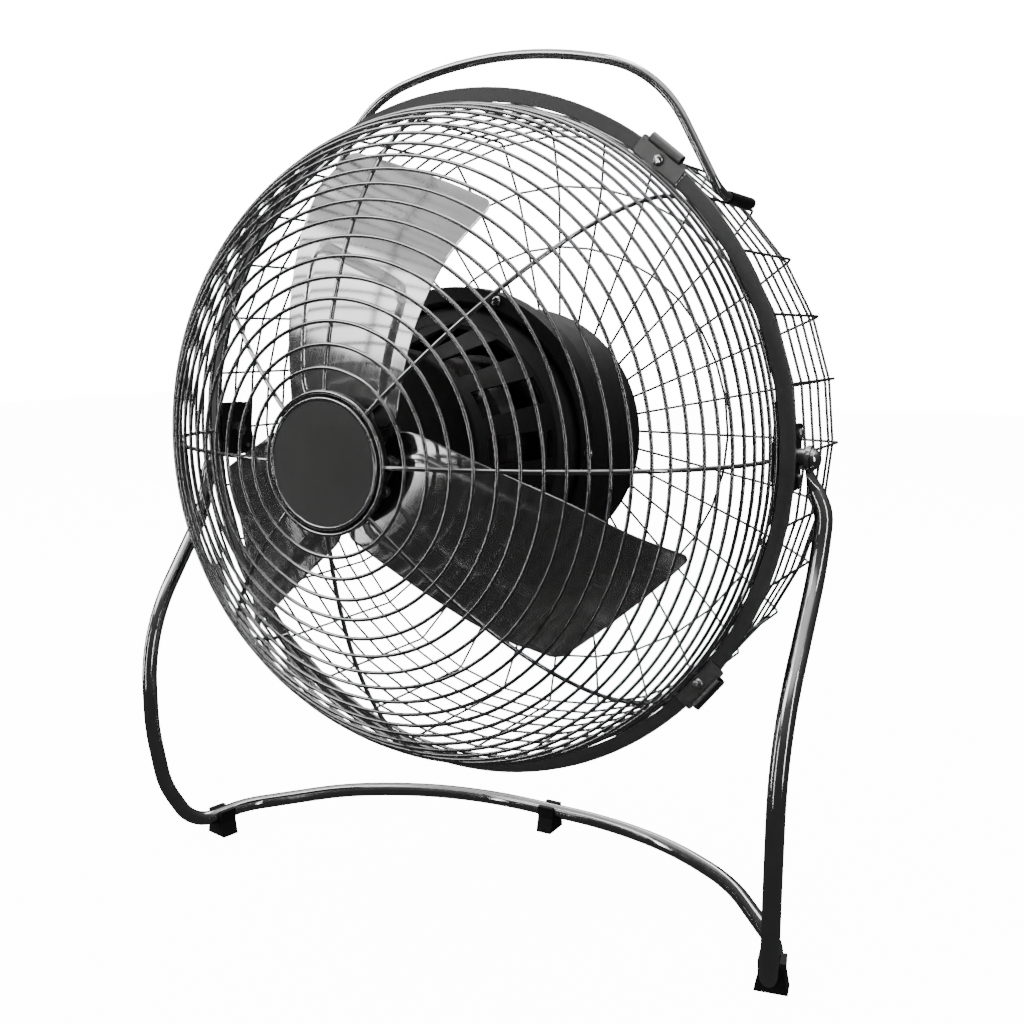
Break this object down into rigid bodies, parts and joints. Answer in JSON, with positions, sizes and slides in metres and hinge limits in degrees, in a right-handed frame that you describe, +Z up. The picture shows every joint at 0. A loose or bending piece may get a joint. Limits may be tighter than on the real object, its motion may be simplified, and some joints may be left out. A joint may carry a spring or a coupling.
{
  "type": "axial air mover",
  "caption": "Floor fan with a domed wire guard, pressed metal blades and a rear motor, tilting on a bent tube stand, with a carrying handle.",
  "frame": {"origin": "centre of the bounding box at floor level", "axes": "+Z up; the fan blows towards -Y; +X is to the right seen from the front"},
  "size_m": [0.5436, 0.3372, 0.6445],
  "materials": {
    "chrome": "polished",
    "black_rubber": "matte",
    "dark_enamel": "satin",
    "black_enamel": "satin",
    "black_plastic": "satin",
    "aluminium": "polished",
    "steel": "satin",
    "copper": "varnished"
  },
  "bodies": {
    "stand": {"stand_tube": "chrome", "foot_left": "black_rubber", "foot_right": "black_rubber", "foot_rear": "black_rubber"},
    "head": {"badge_backing": "black_enamel", "badge_bezel": "chrome", "badge_disc": "dark_enamel", "bearing_front": "steel", "bearing_rear": "steel", "cable_gland": "black_plastic", "capacitor_strap": "chrome", "clamp_screws": "chrome", "clip_nuts": "chrome", "clip_screws": "chrome", "cover_screws": "chrome", "front_guard_ribs": "chrome", "front_rings_inner": "chrome", "front_rings_middle": "chrome", "front_rings_outer": "chrome", "guard_band": "dark_enamel", "guard_clips": "chrome", "handle_bar": "chrome", "handle_sleeve_left": "black_plastic", "handle_sleeve_right": "black_plastic", "motor_end_bracket_front": "aluminium", "motor_end_bracket_rear": "aluminium", "motor_front_cover": "black_plastic", "motor_rear_shell": "black_plastic", "motor_tie_bolts": "steel", "mount_screws": "chrome", "pivot_bolts": "chrome", "pivot_inner_plates": "black_enamel", "pivot_nuts": "chrome", "pivot_outer_plates": "black_enamel", "pivot_spacers": "chrome", "pivot_washers": "chrome", "rear_guard_back_rings": "chrome", "rear_guard_side_rings": "chrome", "rear_guard_wires": "chrome", "rear_mount_plate": "black_enamel", "run_capacitor": "aluminium", "speed_switch": "black_plastic", "stator_core": "steel", "stator_windings": "copper", "switch_nut": "chrome", "terminal_block": "black_plastic"},
    "impeller": {"motor_shaft": "steel", "rotor_core": "steel", "impeller_hub": "aluminium", "hub_set_screw": "steel", "blade_1": "aluminium", "blade_2": "aluminium", "blade_3": "aluminium", "blade_rivets": "aluminium"},
    "knob": {"speed_knob": "black_plastic"}
  },
  "joints": [
    {"name": "head_tilt", "type": "hinge", "parent": "stand", "child": "head", "pos_m": [0, 0.00915, 0.3575], "axis": [-1, 0, 0], "range_deg": [-30, 90]},
    {"name": "impeller_spin", "type": "hinge", "parent": "head", "child": "impeller", "pos_m": [0, -0.0096, 0.3575], "axis": [0, -1, 0], "continuous": true},
    {"name": "speed_knob_turn", "type": "hinge", "parent": "head", "child": "knob", "pos_m": [0, -0.0096, 0.3575], "axis": [0, 1, 0], "range_deg": [0, 270]}
  ]
}
